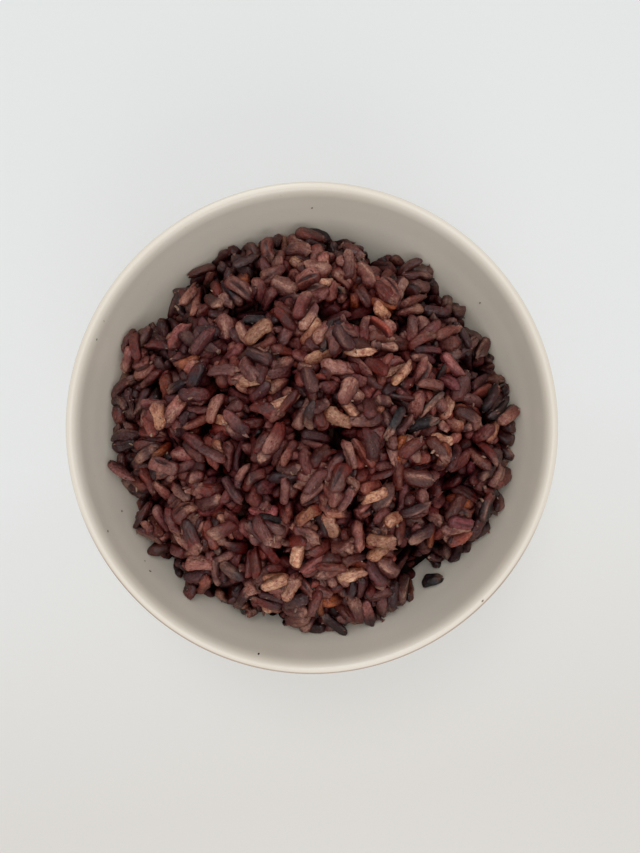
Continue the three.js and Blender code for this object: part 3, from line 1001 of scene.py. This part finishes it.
# How the other grains are scattered, in mm.
SCATTER_HALF = 59
LAYER_MARGIN = 0.8      # grains start this far in from the layer's two sides
WALL_MARGIN = 1.2
STEEPEST = 2.2          # the most that a slope's area exceeds its plan, which evens out the scatter
LYING_DOWN = 0.3        # how much of a grain's lean out of the heap is taken away
ROLL_SPREAD = 0.7       # radians


def flat_direction(degrees):
    """The level direction at a turn."""
    turn = math.radians(degrees)
    return np.array([math.cos(turn), math.sin(turn), 0.0])


def scatter_grains(surface):
    """All the grains before they settle: the marked ones in place, and the rest at random in the layer."""
    fixed_count = len(MARKED_GRAINS)
    total = GRAIN_COUNT + fixed_count
    centre, axis = np.zeros((total, 3)), np.zeros((total, 3))
    length, width = np.zeros(total), np.zeros(total)
    kind = np.zeros(total, dtype=int)

    for index, grain in enumerate(MARKED_GRAINS):
        spot = surface.seen_at(grain["pixel"])
        normal = surface.normals(spot[None])[0]
        centre[index] = spot + normal * (grain["out"] - grain["width"] * 0.3)
        lying = flat_direction(grain["turn"])
        lying[2] = -(lying[0] * normal[0] + lying[1] * normal[1]) / normal[2]
        axis[index] = unit(lying)
        length[index], width[index] = grain["length"], grain["width"]
        kind[index] = KIND_NAMES.index(grain["kind"])

    shares = np.array([KINDS[name]["share"] for name in KIND_NAMES])
    placed = fixed_count
    while placed < total:
        x, y = rng.uniform(-SCATTER_HALF, SCATTER_HALF, 2)
        down = rng.uniform(LAYER_MARGIN, CORE_DEPTH - LAYER_MARGIN)
        spot = np.array([x, y, surface.height_at(x, y)])
        normal = surface.normals(spot[None])[0]
        spot = spot - normal * down
        room = wall_radius(LIP_Z - spot[2], CAVITY_RADIUS, CAVITY_DEPTH) - WALL_MARGIN
        if math.hypot(spot[0], spot[1]) > room or rng.random() > normal[2] ** -1 / STEEPEST:
            continue
        lean = rng.normal(size=3)
        lean -= normal * (lean @ normal) * LYING_DOWN
        centre[placed], axis[placed] = spot, unit(lean)
        kind[placed] = rng.choice(len(KIND_NAMES), p=shares / shares.sum())
        recipe = KINDS[KIND_NAMES[kind[placed]]]
        length[placed], width[placed] = rng.uniform(*recipe["length"]), rng.uniform(*recipe["width"])
        placed += 1

    return {
        "centre": centre, "axis": axis, "length": length, "width": width, "kind": kind,
        "half": np.maximum(length / 2 - width * 0.42, 0.4),
        "fixed": np.arange(total) < fixed_count,
        "roll": rng.normal(0, ROLL_SPREAD, total),
    }


def settle_all(surface):
    """The grains as they lie in the heap, after a few are taken out of its top again."""
    grains = scatter_grains(surface)
    balls = dict(grains, width=grains["width"] / 2 * BALL_RADIUS)
    settle(balls, surface)
    above, _ = surface.above(grains["centre"])
    on_top = (above > -TOP_LAYER_MM) & ~grains["fixed"]
    keep = ~(on_top & (rng.random(len(above)) < MISSING_SHARE))
    return {name: values[keep] for name, values in grains.items()}


# ---- The pieces of the heap and what lies beside it ----

class BowlWall:
    """The bowl's inner wall, for what lies on it outside the heap."""

    def __init__(self):
        self.tree = tree_of("bowl")

    def seen_at(self, pixel):
        """The place on the wall that the camera sees at a pixel, and the direction out of the wall there."""
        place, normal, _, _ = self.tree.ray_cast(Vector(CAMERA), pixel_ray(pixel))
        return np.array(place), np.array(normal)

    def normals(self, places):
        """The directions that point out of the wall at places."""
        return np.array([self.tree.find_nearest(Vector(place))[1] for place in places])

    def openness(self, places):
        """1 everywhere, because nothing covers the wall."""
        return np.ones(places.shape[:-1])


def grain_pieces(grains, surface, material):
    """One piece for each kind of grain, fine on top of the heap and plainer further in, and the flakes."""
    above, _ = surface.above(grains["centre"])
    level = np.where(above > -TOP_LAYER_MM, "fine", np.where(above > -MID_LAYER_MM, "mid", "low"))
    pieces, outside = [], []
    for number, kind in enumerate(KIND_NAMES):
        batches = []
        start = 0
        for name, detail in DETAIL.items():
            picked = np.flatnonzero((grains["kind"] == number) & (level == name))
            *values, quads, caps = grain_batch(grains, picked, kind, detail, surface)
            batches.append([*values, quads + start, caps + start])
            start += len(values[0])
        outside.append(batches[0][0])
        points, colours, places, *faces = (np.concatenate(parts) for parts in zip(*batches))
        pieces.append(painted_piece(f"{kind}_grains", points, colours, places, faces, material))
    outside = np.concatenate(outside)
    pieces.append(flake_piece(outside[surface.openness(outside) > FLAKE_OPENNESS], material))
    return pieces


def stray_grain_piece(wall, material):
    """The one dark grain that lies on the wall, apart from the heap."""
    place, normal = wall.seen_at(STRAY_GRAIN["pixel"])
    lying = flat_direction(STRAY_GRAIN["turn"])
    lying -= normal * (lying @ normal)
    grain = {
        "centre": (place + normal * STRAY_GRAIN["width"] * 0.36)[None],
        "axis": unit(lying)[None],
        "length": np.array([STRAY_GRAIN["length"]]),
        "width": np.array([STRAY_GRAIN["width"]]),
        "roll": np.zeros(1),
    }
    batch = grain_batch(grain, np.array([0]), STRAY_GRAIN["kind"], DETAIL["fine"], wall)
    return painted_piece("stray_grain", *batch[:3], batch[3:], material)


def scrap_piece(name, spots, normals, sizes, tones, material):
    """Small, thin, crumpled lumps at spots. Sizes are half the length, width and thickness, and the thin way
    lies along the normal."""
    around, along = np.radians((0, 72, 144, 216, 288)), (-0.5, 0.5)
    ring = [[math.cos(turn), math.sin(turn), height] for height in along for turn in around]
    shape = np.array([[0, 0, -1.0], *ring, [0, 0, 1.0]])
    crumple = rng.uniform(0.55, 1.3, (len(spots), len(shape), 1))
    lengthwise = unit(np.cross(normals, rng.normal(size=(len(spots), 3))))
    turned = np.stack([lengthwise, np.cross(normals, lengthwise), normals], axis=2)
    corners = spots[:, None] + np.einsum("nij,nkj->nki", turned, shape * sizes[:, None] * crumple)
    quads, low_fan, high_fan = (turned_over(group) for group in ring_faces(len(along), len(around)))
    faces = np.concatenate([low_fan, quads[:, :3], quads[:, [0, 2, 3]], high_fan])
    shades = tones[:, None] * rng.uniform(0.7, 1.15, corners.shape[:2])[..., None]
    colours = np.concatenate([shades, np.ones((*corners.shape[:2], 1))], axis=2)
    faces = repeated(faces, len(shape), len(spots))
    return painted_piece(name, corners.reshape(-1, 3), colours, corners, [faces], material)


def speck_piece(wall, material):
    """Small dark scraps of bran that stick to the bowl."""
    pixels, lengths, tones = zip(*SPECKS)
    spots, normals = (np.array(values) for values in zip(*(wall.seen_at(pixel) for pixel in pixels)))
    sizes = np.array(lengths)[:, None] / 2 * np.array([1, 0.6, 0.3])
    return scrap_piece("bran_specks", spots, normals, sizes, np.array(tones), material)


def flake_piece(points, material):
    """Scraps of bran and crumbs that stick to the grains."""
    spots = points[rng.choice(len(points), FLAKE_COUNT, replace=False)]
    sizes = np.minimum(rng.lognormal(-1.25, 0.65, (FLAKE_COUNT, 1)), 1.3) * np.array([1, 0.45, 0.25])
    tones = FLAKE_TONES[rng.choice(len(FLAKE_TONES), FLAKE_COUNT)]
    return scrap_piece("bran_flakes", spots, unit(rng.normal(size=(FLAKE_COUNT, 3))), sizes, tones, material)


# ---- Stage, light and camera, in metres and watts ----

FLOOR_HALF_SIZE = 4.0
ROOM_LIGHT = 0.61
LIGHT_TARGET = (0, 0, 0.05)
AREA_LIGHTS = {"key": ((-0.15, 0.6, 1.08), 0.4, 1.5),     # place, size and power
               "overhead": ((0.0, 0.0, 1.3), 0.9, 3.3),
               "fill": ((0.2, -0.9, 0.7), 0.7, 1.7)}


def make_stage():
    """The plain floor that the bowl stands on."""
    half = FLOOR_HALF_SIZE
    corners = [(-half, -half, 0), (half, -half, 0), (half, half, 0), (-half, half, 0)]
    mesh = bpy.data.meshes.new("floor")
    mesh.from_pydata(corners, [], [(0, 1, 2, 3)])
    mesh.materials.append(floor_material())
    new_object("floor", mesh)


def make_lights():
    """Even light from all around, and soft square lights that point at the bowl."""
    world = bpy.data.worlds.new("soft_room")
    world.use_nodes = True
    background = world.node_tree.nodes["Background"]
    background.inputs["Color"].default_value = (1, 1, 1, 1)
    background.inputs["Strength"].default_value = ROOM_LIGHT
    bpy.context.scene.world = world
    bpy.context.scene.view_settings.view_transform = "Standard"
    for name, (place, size, power) in AREA_LIGHTS.items():
        light = bpy.data.lights.new(name, "AREA")
        light.shape = "SQUARE"
        light.size = size
        light.energy = power
        lamp = new_object(name, light)
        lamp.location = place
        lamp.rotation_euler = (Vector(LIGHT_TARGET) - Vector(place)).to_track_quat("-Z", "Y").to_euler()


def make_camera():
    """A camera that looks straight down, as in the photograph."""
    camera = bpy.data.cameras.new("camera")
    camera.sensor_width = SENSOR_MM
    camera.lens = FOCAL_PIXELS / IMAGE_LONG_SIDE * SENSOR_MM
    camera.clip_start = 0.01
    eye = new_object("camera", camera)
    eye.location = Vector(CAMERA) * MM
    bpy.context.scene.camera = eye


make_camera()
make_lights()
make_stage()

bowl = bowl_piece()
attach(bowl, "root")
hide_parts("bowl")

surface = HeapSurface("rice")
core = core_piece(surface)
grains = settle_all(surface)
rice_material = grain_material()
for piece in [core, *grain_pieces(grains, surface, rice_material)]:
    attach(piece, "root")
    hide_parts("rice")

wall = BowlWall()
for piece in (stray_grain_piece(wall, rice_material), speck_piece(wall, rice_material)):
    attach(piece, "root")
